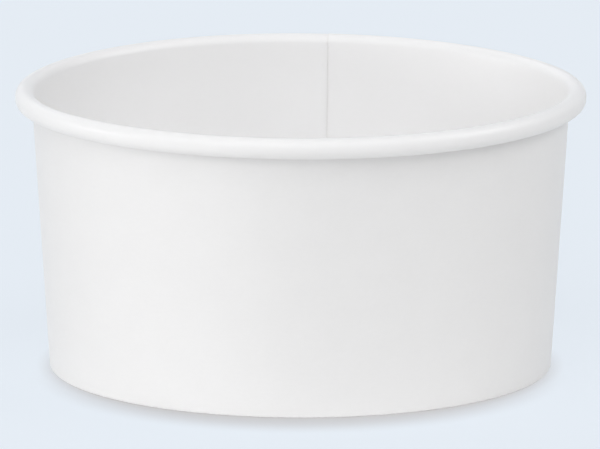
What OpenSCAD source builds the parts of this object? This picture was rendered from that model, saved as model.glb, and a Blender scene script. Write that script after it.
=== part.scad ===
// Paper sundae cup: a wide, shallow, single-wall cup of white coated paperboard.
// One sheet is wound into the sidewall, lapped at the side seam, rolled outward at the
// rim and folded up inside the foot. A round disc with a turned-down skirt is the bottom.
// The foot stands on z = 0, the cup's axis is Z, and all sizes are in millimetres.

/* [Cup] */
// Height from the table to the top of the rim
cup_height = 47.4; // [38:0.2:80]
// Diameter outside the rolled rim
rim_d = 95; // [92:0.5:120]
// Diameter outside the foot
base_d = 83.7; // [70:0.1:87]

/* [Paperboard] */
// Thickness of the sidewall's board
wall_t = 0.35; // [0.25:0.01:0.43]
// Thickness of the bottom disc's board
disc_t = 0.3; // [0.2:0.01:0.45]

/* [Rolled rim] */
// Height of the roll
roll_h = 3.4; // [3.1:0.05:4.5]
// Radius outside the edge that is tucked into the roll
tuck_r = 0.9; // [0.6:0.05:1.05]
// Clearance between the roll's tucked edge and the plies it wraps
tuck_gap = 0.1; // [0.03:0.01:0.25]
// Extra width of the roll that its bends leave as a flat on top
roll_crown = 0.15; // [0.1:0.01:0.3]

/* [Side seam] */
// Width of the glued lap
lap_w = 8; // [4:0.5:14]
// Depth by which the lap's two plies are pressed into each other
lap_bond = 0.05; // [0.02:0.01:0.1]
// Bearing of the edge that shows inside the cup, counted from +X
seam_bearing = 84; // [0:1:359]

/* [Foot] */
// Height of the ply that is folded up inside the foot
fold_h = 4.6; // [3:0.1:8]
// Height from the folded ply's top edge to the underside of the bottom
bottom_lift = 1.4; // [1:0.1:3]
// Radius outside the bend between the bottom and its skirt
bend_r = 0.8; // [0.6:0.05:1.2]
// Thickness of the seal between the skirt and the plies on its two sides
seal_gap = 0.03; // [0.02:0.01:0.1]

/* [Hidden] */
$fn = 180;
// Largest step along a bend, in degrees
bend_step = 10;

rim_r = rim_d / 2;
base_r = base_d / 2;

// The sheet winds outward to clear its own inner ply, so its second half turn has its own centre
wind_out = wall_t - lap_bond;
lap_angle = lap_w / base_r * 180 / PI;

// The roll's bends wrap the wall, its lap and the tucked-in edge
tuck_reach = tuck_r + tuck_gap + wind_out;
roll_r = wall_t + tuck_reach - roll_crown;

// Centres of the roll's upper and lower bends and of its tucked-in edge, as [radius, height]
roll_high_c = [rim_r - roll_r, cup_height - roll_r];
roll_low_c = [rim_r - roll_r, cup_height - roll_h + roll_r];
tuck_c = [rim_r - roll_r, cup_height - roll_h + tuck_r];

// The wall leans out from the foot so that the lap's outer ply passes inside the tucked-in edge
lean = atan2(tuck_c.x - base_r, tuck_c.y) - asin(tuck_reach / norm(tuck_c - [base_r, 0]));
wall_up = [sin(lean), cos(lean)];
wall_out = [cos(lean), -sin(lean)];

// Radius at height z of a line that is parallel to the wall, and depth inside its outer face
function wall_line_r(depth, z) = base_r + z * tan(lean) - depth / cos(lean);

// Centre of the bend where the wall turns over into the rim
roll_inner_c = [wall_line_r(wall_t - roll_r, cup_height - roll_r), cup_height - roll_r];

// The slot for the skirt, and the centres of the fold's two corners on either side of it
skirt_slot = disc_t + 2 * seal_gap;
fold_outer_c = [wall_line_r(wall_t, wall_t), wall_t];
fold_inner_c = [wall_line_r(wall_t + skirt_slot, wall_t), wall_t];
fold_rise = (fold_h - wall_t) / cos(lean);

// The bottom lies above the folded ply, and its skirt runs down beside the wall to the fold
recess_h = fold_h + bottom_lift;
skirt_depth = wall_t + seal_gap;
bend_z = recess_h + disc_t - bend_r;
bend_c = [wall_line_r(skirt_depth + bend_r, bend_z), bend_z];

// Points of an arc about a centre, in equal steps from one direction to another
function arc(centre, r, from, to) =
    let (steps = ceil(abs(to - from) / bend_step))
    [for (i = [0:steps]) let (a = from + (to - from) * i / steps) centre + r * [cos(a), sin(a)]];

// One face of the rolled rim, from the wall over the top and round to the tucked-in edge
function roll_face(depth) = concat(
    arc(roll_inner_c, roll_r - depth, 180 - lean, 90),
    arc(roll_high_c, roll_r - depth, 90, 0),
    arc(roll_low_c, roll_r - depth, 0, -90),
    arc(tuck_c, tuck_r - depth, -90 - bend_step, -270)
);

function reversed(points) = [for (i = [len(points) - 1:-1:0]) points[i]];

// The outside of the foot, from its flat underside round the corner to the wall
foot_face = arc(fold_outer_c, wall_t, -90, -lean);

// Section of the wall, with the rolled rim and with the flat land that the cup stands on.
// The land's inner end is bevelled, to stay inside the folded ply's corner all the way round.
module wall_section() {
    land_end = [fold_inner_c.x + seal_gap, 0];
    bevel = wall_t / 2;
    polygon(concat(
        [land_end], foot_face, roll_face(wall_t), reversed(roll_face(0)),
        [fold_outer_c, fold_inner_c - [bevel, 0], fold_inner_c - [bevel, bevel]]
    ));
}

// Section of the lap's outer ply, from the foot up into the roll
module lap_section() {
    land = fold_outer_c - [wall_t, 0];
    polygon(concat(
        [[land.x, 0]], foot_face,
        [roll_inner_c - (roll_r - wall_t) * wall_out, roll_inner_c - roll_r * wall_out, fold_outer_c, land]
    ));
}

// Section of the ply folded up inside the foot, with the land that joins it to the wall
module folded_ply_section() {
    land_end = fold_outer_c - [seal_gap, 0];
    top = fold_inner_c + fold_rise * wall_up;
    polygon(concat(
        arc(fold_inner_c, wall_t, 180 - lean, 270),
        [[land_end.x, 0], land_end, fold_inner_c, top, top - wall_t * wall_out]
    ));
}

// Part of the sheet's second turn: a section moved out, and revolved about that turn's centre
module second_turn(from, angle) {
    translate([wind_out / 2, 0, 0])
        rotate([0, 0, from])
            rotate_extrude(angle = angle)
                translate([wind_out / 2, 0])
                    children();
}

module sidewall() {
    color("white") rotate([0, 0, seam_bearing]) {
        rotate_extrude(angle = 180) wall_section();
        second_turn(180, 180) wall_section();
        second_turn(0, lap_angle) lap_section();
        rotate_extrude() folded_ply_section();
    }
}

module bottom_disc() {
    color("whitesmoke") rotate_extrude() polygon(concat(
        [[0, recess_h]],
        arc(bend_c, bend_r - disc_t, 90, -lean),
        [[wall_line_r(skirt_depth + disc_t, wall_t), wall_t], [wall_line_r(skirt_depth, wall_t), wall_t]],
        arc(bend_c, bend_r, -lean, 90),
        [[0, recess_h + disc_t]]
    ));
}

sidewall();
bottom_disc();
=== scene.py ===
"""White paper sundae cup: the wound and rolled sidewall sheet, the bottom disc and a small pale studio."""

import math
from collections import namedtuple

import bmesh
import bpy
from mathutils import Matrix, Vector, noise


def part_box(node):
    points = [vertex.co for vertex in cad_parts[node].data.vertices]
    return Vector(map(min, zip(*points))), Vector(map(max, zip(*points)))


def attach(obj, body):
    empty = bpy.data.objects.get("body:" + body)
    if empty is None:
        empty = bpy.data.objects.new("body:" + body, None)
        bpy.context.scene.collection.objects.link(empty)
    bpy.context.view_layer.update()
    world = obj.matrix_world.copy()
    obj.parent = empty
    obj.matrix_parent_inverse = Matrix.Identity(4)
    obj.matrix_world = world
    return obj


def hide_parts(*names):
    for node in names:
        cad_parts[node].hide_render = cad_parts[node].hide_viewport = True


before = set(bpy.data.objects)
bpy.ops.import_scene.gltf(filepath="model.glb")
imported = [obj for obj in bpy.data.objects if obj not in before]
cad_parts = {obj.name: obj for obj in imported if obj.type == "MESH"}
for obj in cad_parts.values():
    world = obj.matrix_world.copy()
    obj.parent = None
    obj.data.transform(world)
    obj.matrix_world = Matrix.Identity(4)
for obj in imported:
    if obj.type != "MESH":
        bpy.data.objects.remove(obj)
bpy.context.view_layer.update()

MM = 0.001

# The cup's sizes: the outer ones come from the frame, the rest repeat the part's own driving dimensions.
# The bottom's skirt stands on the fold, one board above the table.
wall_low, wall_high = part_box("sidewall")
disc_low, disc_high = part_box("bottom_disc")
CUP_H = wall_high.z
RIM_R = -wall_low.x
WALL_T = disc_low.z
BOTTOM_TOP = disc_high.z
BASE_R = 41.85 * MM
DISC_T = 0.3 * MM
ROLL_H = 3.4 * MM
ROLL_R = 1.5 * MM
TUCK_R = 0.9 * MM
TUCK_REACH = 1.3 * MM
LAP_W = 8 * MM
SEAM_BEARING = math.radians(84)
FOLD_H = 4.6 * MM
SEAL_GAP = 0.03 * MM
DISC_BEND_R = 0.8 * MM

# How far the real sidewall strays from the ideal form. The rim's waves are given as the number in a turn,
# the size and the crest's bearing in degrees.
PLY_GAP = 0.01 * MM
RIM_WAVES = ((2, 0.10 * MM, 100), (3, 0.09 * MM, 105))
RIM_WAVE_FOOT = 8 * MM
BOARD_WAVE = 0.025 * MM
BOARD_WAVE_LENGTH = 14 * MM
BOARD_WAVE_RISE = (6 * MM, 12 * MM)
KNURLS = 108
KNURL_DEPTH = 0.07 * MM
KNURL_FADE = 0.8 * MM
SEAM_PRESS_W = 0.45 * MM
SEAM_EDGE_T = 0.18 * MM

# How far the real bottom strays: its sag, its pleats at the bend, and the pull of its skirt to the wall
BOTTOM_SAG = 0.25 * MM
PLEAT_DEPTH = 0.05 * MM
PLEAT_LENGTH = 3 * MM
PLEAT_FINENESS = 18
SKIRT_PULL = 8 * MM
SEAM_BRIDGE = 4 * MM

# Mesh density: steps round the cup, rows along each run and bend of board, and how near two points are one
TURN_STEPS = 4 * KNURLS
LAP_STEPS = 14
FOLD_ROWS = 8
FOLD_BEND_ROWS = 5
LAND_ROWS = 2
FOOT_BEND_ROWS = 6
WALL_ROWS = 24
ROLL_ROWS = 9
TUCK_ROWS = 12
DISC_STEPS = 360
DISC_ROWS = 30
DISC_BEND_ROWS = 8
SKIRT_ROWS = 6
SAME_POINT = 1e-7

# Material slots on the pieces
PRINT_SIDE, FOOD_SIDE, RAW_EDGE = range(3)

# The board's coated faces: their white, the shade of it in clouds and fibres, and their finish
Face = namedtuple("Face", "name white shade roughness coat")
OUTSIDE = Face("board_outside", (0.922, 0.918, 0.917), (0.906, 0.902, 0.901), 0.48, 0.15)
INSIDE = Face("board_food_side", (0.952, 0.948, 0.949), (0.940, 0.936, 0.937), 0.45, 0.2)
CLOUD_SIZE = 6 * MM
FIBRE_SIZE = 0.5 * MM
FIBRE_STRETCH = (0.5, 1, 1)
GRAIN_SIZE = 0.22 * MM
ROUGHNESS_SPREAD = (-0.05, 0.07)
COAT_ROUGHNESS = 0.35
FACE_RELIEF = {"Strength": 0.35, "Distance": 0.012 * MM}

# The board's cut edge
EDGE_TONES = ((0.80, 0.78, 0.74), (0.68, 0.66, 0.62))
EDGE_FIBRE_SIZE = 0.12 * MM
EDGE_ROUGHNESS = 0.9
EDGE_RELIEF = {"Strength": 0.6, "Distance": 0.03 * MM}

# The photograph's frame and view
PHOTO_W = 600
VIEW_ELEVATION = math.radians(11.7)
VIEW_DISTANCE = 1.7
VIEW_ROLL = math.radians(0.11)
FOCAL_PIXELS = 10172
SENSOR_W = 36

# Soft lamps: azimuth from the camera's side towards +X, elevation and spread in degrees, and strength
SOFTBOXES = (
    ("key", -30, 35, 80, 1.28),
    ("left_low", -90, 4, 20, 0.79),
    ("front", 0, 50, 80, 0.84),
    ("right", 90, 35, 40, 0.98),
    ("back_left", -150, 35, 40, 0.34),
    ("back_high", 180, 65, 40, 0.26),
)
FILL = (0.02, 0.02, 0.02)

# The ground: its pale blue, the grey of the shade painted on it, the level at which the lamps light it, the
# share of its look that it gives by itself, the grey by which it throws light back onto the cup, and how far
# it goes
GROUND = (0.783, 0.840, 0.905)
GROUND_PAINTED_SHADE = (0.46, 0.42, 0.40)
GROUND_LIT = 0.80
GROUND_SELF = 0.88
GROUND_THROWS = (0.94, 0.94, 0.94)
GROUND_REACH = 4.0
BLACK = (0, 0, 0)

# Shade painted into the ground's look, not cast by the lamps: close round the foot, and a painted shadow
# thrown forward, fading across the thrown foot's outline
CONTACT_REACH = 2.5 * MM
CONTACT_DEPTH = 0.4
THROW = 9 * MM
THROW_DEPTH = 0.53
THROW_FADE = (-7.5 * MM, 3 * MM)

# The section's construction, as (radius, height), worked out as the part does it
ROLL_HIGH = (RIM_R - ROLL_R, CUP_H - ROLL_R)
ROLL_LOW = (RIM_R - ROLL_R, CUP_H - ROLL_H + ROLL_R)
TUCK = (RIM_R - ROLL_R, CUP_H - ROLL_H + TUCK_R)
TUCK_RUN = (TUCK[0] - BASE_R, TUCK[1])
LEAN = math.atan2(*TUCK_RUN) - math.asin(TUCK_REACH / math.hypot(*TUCK_RUN))
LEAN_DEG = math.degrees(LEAN)
UP = (math.sin(LEAN), math.cos(LEAN))
OUT = (math.cos(LEAN), -math.sin(LEAN))
INWARD = (-OUT[0], -OUT[1])


def wall_line(depth, z):
    """Radius at height z of a line parallel to the wall, depth inside its outer face."""
    return BASE_R + z * math.tan(LEAN) - depth / math.cos(LEAN)


def moved(point, direction, distance):
    """A point of the section, moved along a direction."""
    return point[0] + direction[0] * distance, point[1] + direction[1] * distance


SKIRT_SLOT = DISC_T + 2 * SEAL_GAP
FOLD_OUTER = (wall_line(WALL_T, WALL_T), WALL_T)
FOLD_INNER = (wall_line(WALL_T + SKIRT_SLOT, WALL_T), WALL_T)
ROLL_INNER = (wall_line(WALL_T - ROLL_R, CUP_H - ROLL_R), CUP_H - ROLL_R)
DISC_BEND_Z = BOTTOM_TOP - DISC_BEND_R
DISC_BEND = (wall_line(WALL_T + SEAL_GAP + DISC_BEND_R, DISC_BEND_Z), DISC_BEND_Z)

# A place along the board's section: its middle, the normal on the print side, and its share of the winding
Station = namedtuple("Station", "r z nr nz wind zone")


def straight(zone, start, end, normal, rows, wind=(1, 1)):
    """Stations along a flat run of board, from one middle point to another."""
    for i in range(rows + 1):
        t = i / rows
        r = start[0] + (end[0] - start[0]) * t
        z = start[1] + (end[1] - start[1]) * t
        yield Station(r, z, *normal, wind[0] + (wind[1] - wind[0]) * t, zone)


def bent(zone, centre, radius, start, end, rows, print_side_out=False, wind=1):
    """Stations round a bend of the board about a centre, between two directions in degrees."""
    side = 1 if print_side_out else -1
    for i in range(rows + 1):
        a = math.radians(start + (end - start) * i / rows)
        c, s = math.cos(a), math.sin(a)
        yield Station(centre[0] + radius * c, centre[1] + radius * s, side * c, side * s, wind, zone)


def without_repeats(stations):
    """The stations, without those that lie on the one before them."""
    kept = []
    for s in stations:
        if not kept or math.hypot(s.r - kept[-1].r, s.z - kept[-1].z) > SAME_POINT:
            kept.append(s)
    return kept


def sidewall_section():
    """From the edge of the ply folded up inside the foot to the edge tucked into the roll."""
    half = WALL_T / 2
    fold_foot = moved(FOLD_INNER, INWARD, half)
    fold_top = moved(fold_foot, UP, (FOLD_H - WALL_T) / math.cos(LEAN))
    wall_foot = moved(FOLD_OUTER, OUT, half)
    wall_top = moved(ROLL_INNER, OUT, half - ROLL_R)
    return without_repeats([
        *straight("fold", fold_top, fold_foot, INWARD, FOLD_ROWS, wind=(0, 0)),
        *bent("foot", FOLD_INNER, half, 180 - LEAN_DEG, 270, FOLD_BEND_ROWS, print_side_out=True, wind=0),
        *straight("foot", (FOLD_INNER[0], half), (FOLD_OUTER[0], half), (0, -1), LAND_ROWS, wind=(0, 1)),
        *bent("foot", FOLD_OUTER, half, 270, 360 - LEAN_DEG, FOOT_BEND_ROWS, print_side_out=True),
        *straight("wall", wall_foot, wall_top, OUT, WALL_ROWS),
        *bent("roll", ROLL_INNER, ROLL_R - half, 180 - LEAN_DEG, 90, ROLL_ROWS),
        *bent("roll", ROLL_HIGH, ROLL_R - half, 90, 0, ROLL_ROWS),
        *bent("roll", ROLL_LOW, ROLL_R - half, 0, -90, ROLL_ROWS),
        *bent("roll", TUCK, TUCK_R - half, -90, -270, TUCK_ROWS),
    ])


def bottom_section():
    """From the middle of the bottom out to the bend, and down the skirt to its edge on the fold."""
    half = DISC_T / 2
    level = BOTTOM_TOP - half
    skirt_top = moved(DISC_BEND, OUT, DISC_BEND_R - half)
    skirt_foot_z = WALL_T + half * math.sin(LEAN)
    skirt_foot = (wall_line(WALL_T + SEAL_GAP + half, skirt_foot_z), skirt_foot_z)
    return without_repeats([
        *straight("bottom", (0, level), (DISC_BEND[0], level), (0, -1), DISC_ROWS),
        *bent("bend", DISC_BEND, DISC_BEND_R - half, 90, -LEAN_DEG, DISC_BEND_ROWS),
        *straight("skirt", skirt_top, skirt_foot, INWARD, SKIRT_ROWS),
    ])


def bearing_way(angle):
    """The direction out from the axis at an angle counted from the seam."""
    bearing = angle + SEAM_BEARING
    return Vector((math.cos(bearing), math.sin(bearing), 0))


def ease(low, high, value):
    """0 below low, 1 above high, and a smooth step between them."""
    t = min(max((value - low) / (high - low), 0), 1)
    return t * t * (3 - 2 * t)


def wound_out(angle, share):
    """How far the sheet's second half turn lies out: it has a centre of its own, to lap over the first."""
    step = share * (WALL_T + PLY_GAP) / 2 if angle > math.pi else 0
    return step * (bearing_way(0) + bearing_way(angle))


def pressed(station, angle, offset):
    """A point's offset from the middle of the sidewall's board, once its knurls and seam are pressed."""
    if station.zone == "fold" and offset > 0:
        edge = ease(0, KNURL_FADE, FOLD_H - station.z) * ease(0, KNURL_FADE, station.z - WALL_T)
        offset -= KNURL_DEPTH * edge * (0.5 + 0.5 * math.cos(KNURLS * angle))
    if offset < 0:
        # The edge that shows inside the cup is pressed thin where it is sealed, and the roll's outside isn't
        inside = ease(-ROLL_INNER[0], ROLL_R - ROLL_INNER[0], -station.r)
        offset += (WALL_T - SEAM_EDGE_T) * inside * ease(-SEAM_PRESS_W, 0, -angle * BASE_R)
    return offset


def rim_lift(angle, z):
    """How far the rim's waves lift the board at a height."""
    bearing = angle + SEAM_BEARING
    lift = sum(size * math.cos(n * (bearing - math.radians(crest))) for n, size, crest in RIM_WAVES)
    return ease(RIM_WAVE_FOOT, CUP_H, z) * lift


def place_wall(station, angle, offset):
    """Where a point of the sidewall's board lies, offset to the print side of the board's middle."""
    offset = pressed(station, angle, offset)
    way = bearing_way(angle)
    middle = way * station.r + Vector((0, 0, station.z))
    wave = BOARD_WAVE * ease(*BOARD_WAVE_RISE, station.z) * noise.noise(middle / BOARD_WAVE_LENGTH)
    r = station.r + station.nr * offset + wave
    z = station.z + station.nz * offset + rim_lift(angle, station.z)
    return wound_out(angle, station.wind) + way * r + Vector((0, 0, z))


def place_bottom(station, angle, offset):
    """Where a point of the bottom's board lies, offset to the print side of the board's middle."""
    way = bearing_way(angle)
    sag, pleat, pulled = 0, 0, 1
    if station.zone == "bottom":
        bend_r = DISC_BEND[0]
        sag = BOTTOM_SAG * ease(0, bend_r, bend_r - station.r)
        pleat = PLEAT_DEPTH * ease(bend_r - PLEAT_LENGTH, bend_r, station.r)
        pleat *= max(noise.noise(way * PLEAT_FINENESS), 0)
        pulled = ease(bend_r - SKIRT_PULL, bend_r, station.r)
    # The skirt is pressed out against the wall, but can't follow its step at the seam
    pulled *= ease(0, SEAM_BRIDGE, (2 * math.pi - angle) * BASE_R)
    r = station.r + station.nr * offset
    z = station.z + station.nz * offset - sag - pleat
    return wound_out(angle, pulled) + way * r + Vector((0, 0, z))


def link_object(name, data):
    """A new object in the scene."""
    made = bpy.data.objects.new(name, data)
    bpy.context.scene.collection.objects.link(made)
    return made


def board_points(built, stations, angles, thickness, place):
    """The points of both faces of a board, and where each lies on the flat sheet."""
    lengths = [0]
    for a, b in zip(stations, stations[1:]):
        lengths.append(lengths[-1] + math.hypot(b.r - a.r, b.z - a.z))
    grid = {}
    flat = {}
    for side, sign in ((PRINT_SIDE, 1), (FOOD_SIDE, -1)):
        for k, angle in enumerate(angles):
            for i, station in enumerate(stations):
                vert = built.verts.new(place(station, angle, sign * thickness / 2))
                grid[side, k, i] = vert
                flat[vert] = (angle * BASE_R, lengths[i] + side * 2 * lengths[-1])
    return grid, flat


def board_quads(steps, rows, exists):
    """The slot and the corners of each quad: those of both faces, and a raw edge wherever the board ends."""
    for k in range(steps):
        for i in range(rows):
            if not exists(k, i):
                continue
            ring = [(k, i), (k + 1, i), (k + 1, i + 1), (k, i + 1)]
            yield PRINT_SIDE, [(PRINT_SIDE, *c) for c in ring]
            yield FOOD_SIDE, [(FOOD_SIDE, *c) for c in reversed(ring)]
            beyond = [(k, i - 1), (k + 1, i), (k, i + 1), (k - 1, i)]
            for j, neighbour in enumerate(beyond):
                if not exists(*neighbour):
                    a, b = ring[j], ring[(j + 1) % 4]
                    yield RAW_EDGE, [(PRINT_SIDE, *b), (PRINT_SIDE, *a), (FOOD_SIDE, *a), (FOOD_SIDE, *b)]


def board_mesh(name, stations, angles, thickness, place, exists):
    """One closed mesh of bent board: two faces a board apart, joined by the raw edge."""
    built = bmesh.new()
    sheet = built.loops.layers.uv.new("sheet")
    grid, flat = board_points(built, stations, angles, thickness, place)
    for slot, corners in board_quads(len(angles) - 1, len(stations) - 1, exists):
        face = built.faces.new([grid[c] for c in corners])
        face.material_index = slot
        face.smooth = True
        for loop in face.loops:
            loop[sheet].uv = flat[loop.vert]
        if slot == RAW_EDGE:
            for border in face.edges:
                border.smooth = False
    bmesh.ops.remove_doubles(built, verts=built.verts, dist=SAME_POINT)
    bmesh.ops.delete(built, geom=[v for v in built.verts if not v.link_faces], context="VERTS")
    bmesh.ops.recalc_face_normals(built, faces=built.faces)
    mesh = bpy.data.meshes.new(name)
    built.to_mesh(mesh)
    built.free()
    return link_object(name, mesh)


def make_sidewall():
    """The wound sheet: one full turn, then the lap, which has neither a fold nor a roll of its own."""
    stations = sidewall_section()
    lap_angle = LAP_W / BASE_R
    angles = [2 * math.pi * k / TURN_STEPS for k in range(TURN_STEPS + 1)]
    angles += [2 * math.pi + lap_angle * k / LAP_STEPS for k in range(1, LAP_STEPS + 1)]
    lapped = [s.wind == 1 and s.zone in ("foot", "wall") for s in stations]

    def exists(k, i):
        if not (0 <= k < len(angles) - 1 and 0 <= i < len(stations) - 1):
            return False
        return k < TURN_STEPS or (lapped[i] and lapped[i + 1])

    return board_mesh("cup_sidewall", stations, angles, WALL_T, place_wall, exists)


def make_bottom():
    """The bottom disc, a full turn with no seam."""
    stations = bottom_section()
    angles = [2 * math.pi * k / DISC_STEPS for k in range(DISC_STEPS + 1)]

    def exists(k, i):
        return 0 <= i < len(stations) - 1

    return board_mesh("cup_bottom", stations, angles, DISC_T, place_bottom, exists)


def add(tree, kind, inputs=None, **settings):
    """A new shader node, with its settings made and each input set to a value or linked to a socket."""
    made = tree.nodes.new(kind)
    for key, value in settings.items():
        setattr(made, key, value)
    for key, value in (inputs or {}).items():
        if isinstance(value, bpy.types.NodeSocket):
            tree.links.new(value, made.inputs[key])
        else:
            made.inputs[key].default_value = value
    return made


def new_material(name):
    """A new node material, its tree and its shader."""
    material = bpy.data.materials.new(name)
    material.use_nodes = True
    tree = material.node_tree
    return material, tree, tree.nodes["Principled BSDF"]


def noise_map(tree, where, size, stretch=(1, 1, 1), detail=2.0, roughness=0.5):
    """A noise pattern with features of about that size in metres."""
    scaled = add(tree, "ShaderNodeMapping", {"Vector": where, "Scale": stretch})
    inputs = {
        "Vector": scaled.outputs["Vector"],
        "Scale": 1 / size,
        "Detail": detail,
        "Roughness": roughness,
    }
    return add(tree, "ShaderNodeTexNoise", inputs).outputs["Fac"]


def ramp(tree, fac, low, high, start=0.35, end=0.65, form="LINEAR"):
    """A pattern's range mapped to another range of values."""
    inputs = {"Value": fac, "From Min": start, "From Max": end, "To Min": low, "To Max": high}
    return add(tree, "ShaderNodeMapRange", inputs, interpolation_type=form).outputs["Result"]


def combine(tree, operation, first, second):
    """One value from two, by an operation of the math node."""
    return add(tree, "ShaderNodeMath", {0: first, 1: second}, operation=operation).outputs["Value"]


def blend(tree, factor, start, end):
    """A colour between two others, each of them a value or a socket."""
    inputs = {"Factor": factor}
    for key, colour in (("A", start), ("B", end)):
        inputs[key] = colour if isinstance(colour, bpy.types.NodeSocket) else (*colour, 1)
    return add(tree, "ShaderNodeMix", inputs, data_type="RGBA").outputs["Result"]


def add_relief(tree, shader, height, relief):
    """Fine relief on a surface, from a pattern of heights."""
    bump = add(tree, "ShaderNodeBump", {"Height": height, **relief})
    tree.links.new(bump.outputs["Normal"], shader.inputs["Normal"])


def board_material(face):
    """Coated white board: faint cloudy formation, fibres that run round the cup, and a soft sheen."""
    material, tree, shader = new_material(face.name)
    sheet = add(tree, "ShaderNodeUVMap", uv_map="sheet").outputs["UV"]
    clouds = noise_map(tree, sheet, CLOUD_SIZE, detail=3)
    fibres = noise_map(tree, sheet, FIBRE_SIZE, stretch=FIBRE_STRETCH, detail=4, roughness=0.6)
    grain = noise_map(tree, sheet, GRAIN_SIZE)
    shaded = combine(tree, "ADD", ramp(tree, clouds, 0, 0.5), ramp(tree, fibres, 0, 0.5))
    tree.links.new(blend(tree, shaded, face.white, face.shade), shader.inputs["Base Color"])
    smooth, rough = (face.roughness + spread for spread in ROUGHNESS_SPREAD)
    tree.links.new(ramp(tree, fibres, smooth, rough), shader.inputs["Roughness"])
    add_relief(tree, shader, combine(tree, "ADD", fibres, grain), FACE_RELIEF)
    shader.inputs["Coat Weight"].default_value = face.coat
    shader.inputs["Coat Roughness"].default_value = COAT_ROUGHNESS
    return material


def raw_edge_material():
    """The board's cut edge: warmer, uncoated and fibrous."""
    material, tree, shader = new_material("board_raw_edge")
    where = add(tree, "ShaderNodeTexCoord").outputs["Object"]
    fibres = noise_map(tree, where, EDGE_FIBRE_SIZE, detail=3)
    tree.links.new(blend(tree, ramp(tree, fibres, 0, 1), *EDGE_TONES), shader.inputs["Base Color"])
    add_relief(tree, shader, fibres, EDGE_RELIEF)
    shader.inputs["Roughness"].default_value = EDGE_ROUGHNESS
    return material


def make_cup():
    """Both boards, in place of their nodes."""
    materials = (board_material(OUTSIDE), board_material(INSIDE), raw_edge_material())
    pieces = (
        (make_sidewall(), "sidewall", "wall_board"),
        (make_bottom(), "bottom_disc", "bottom_board"),
    )
    for piece, node, slot in pieces:
        for material in materials:
            piece.data.materials.append(material)
        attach(piece, "root")
        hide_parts(node)


def seen_directly(tree):
    """1 for a ray from the camera or from a mirror-like or clear surface, 0 for light that spreads."""
    path = add(tree, "ShaderNodeLightPath").outputs
    mirrored = combine(tree, "MAXIMUM", path["Is Glossy Ray"], path["Is Transmission Ray"])
    return combine(tree, "MAXIMUM", path["Is Camera Ray"], mirrored)


def clear_of_painted_shade(tree):
    """How clear the ground is of the painted shade close round the foot and the painted shadow thrown
    forward.
    """
    # Painted shade where the ground meets the foot, darker where less open sky is near
    sky = add(tree, "ShaderNodeAmbientOcclusion", {"Distance": CONTACT_REACH}).outputs["AO"]
    close = ramp(tree, sky, 1 - CONTACT_DEPTH, 1, 0, 1)
    # A painted shadow: the foot's outline moved forward by THROW and softened at its edge
    place = add(tree, "ShaderNodeTexCoord").outputs["Object"]
    apart = add(tree, "ShaderNodeVectorMath", {0: place, 1: (0, -THROW, 0)}, operation="DISTANCE")
    start, end = (BASE_R + way for way in THROW_FADE)
    thrown = ramp(tree, apart.outputs["Value"], 1 - THROW_DEPTH, 1, start, end, "SMOOTHSTEP")
    return combine(tree, "MULTIPLY", close, thrown)


def floor_material():
    """A ground that looks pale blue, mostly by itself, with faint lamp shadows and a painted shade at the
    foot, and throws neutral light.
    """
    material, tree, shader = new_material("floor_paper")
    seen = seen_directly(tree)
    clear = clear_of_painted_shade(tree)
    looks = (
        ("Base Color", GROUND_THROWS, (1 - GROUND_SELF) / GROUND_LIT),
        ("Emission Color", BLACK, GROUND_SELF),
    )
    # The painted shade darkens both the ground's colour under the lamps and its own glow, for rays from the
    # camera and mirror-like surfaces only
    for socket, thrown, share in looks:
        look = blend(tree, clear, [c * share for c in GROUND_PAINTED_SHADE], [c * share for c in GROUND])
        tree.links.new(blend(tree, seen, thrown, look), shader.inputs[socket])
    shader.inputs["Emission Strength"].default_value = 1.0
    shader.inputs["Roughness"].default_value = 1.0
    shader.inputs["Specular IOR Level"].default_value = 0.0
    return material


def make_floor():
    """A wide pale floor."""
    mesh = bpy.data.meshes.new("floor")
    corners = [(x * GROUND_REACH, y * GROUND_REACH, 0) for x, y in ((-1, -1), (1, -1), (1, 1), (-1, 1))]
    mesh.from_pydata(corners, [], [(0, 1, 2, 3)])
    mesh.materials.append(floor_material())
    link_object("floor", mesh)


def make_world():
    """Nothing but a faint fill behind the lamps, with the ground's pale blue beyond its edge."""
    world = bpy.data.worlds.new("studio")
    bpy.context.scene.world = world
    world.use_nodes = True
    tree = world.node_tree
    sky = blend(tree, seen_directly(tree), FILL, GROUND)
    tree.links.new(sky, tree.nodes["Background"].inputs["Color"])


def add_sun(name, azimuth, elevation, spread, strength):
    """A soft lamp, far off."""
    light = bpy.data.lights.new(name, "SUN")
    light.energy = strength
    light.angle = math.radians(spread)
    lamp = link_object(name, light)
    a, e = math.radians(azimuth), math.radians(elevation)
    toward = Vector((math.sin(a) * math.cos(e), -math.cos(a) * math.cos(e), math.sin(e)))
    lamp.rotation_mode = "QUATERNION"
    lamp.rotation_quaternion = toward.to_track_quat("Z", "Y")


def make_camera():
    """The photograph's view: a long lens from a little above the rim."""
    camera = bpy.data.cameras.new("camera")
    camera.sensor_width = SENSOR_W
    camera.lens = FOCAL_PIXELS / PHOTO_W * SENSOR_W
    seat = link_object("camera", camera)
    target = Vector((0, 0, CUP_H / 2))
    back = Vector((0, -math.cos(VIEW_ELEVATION), math.sin(VIEW_ELEVATION)))
    turn = back.to_track_quat("Z", "Y").to_matrix() @ Matrix.Rotation(VIEW_ROLL, 3, "Z")
    seat.matrix_world = Matrix.Translation(target + back * VIEW_DISTANCE) @ turn.to_4x4()
    bpy.context.scene.camera = seat


make_camera()
make_cup()
make_floor()
make_world()
for softbox in SOFTBOXES:
    add_sun(*softbox)
bpy.context.scene.view_settings.view_transform = "Standard"
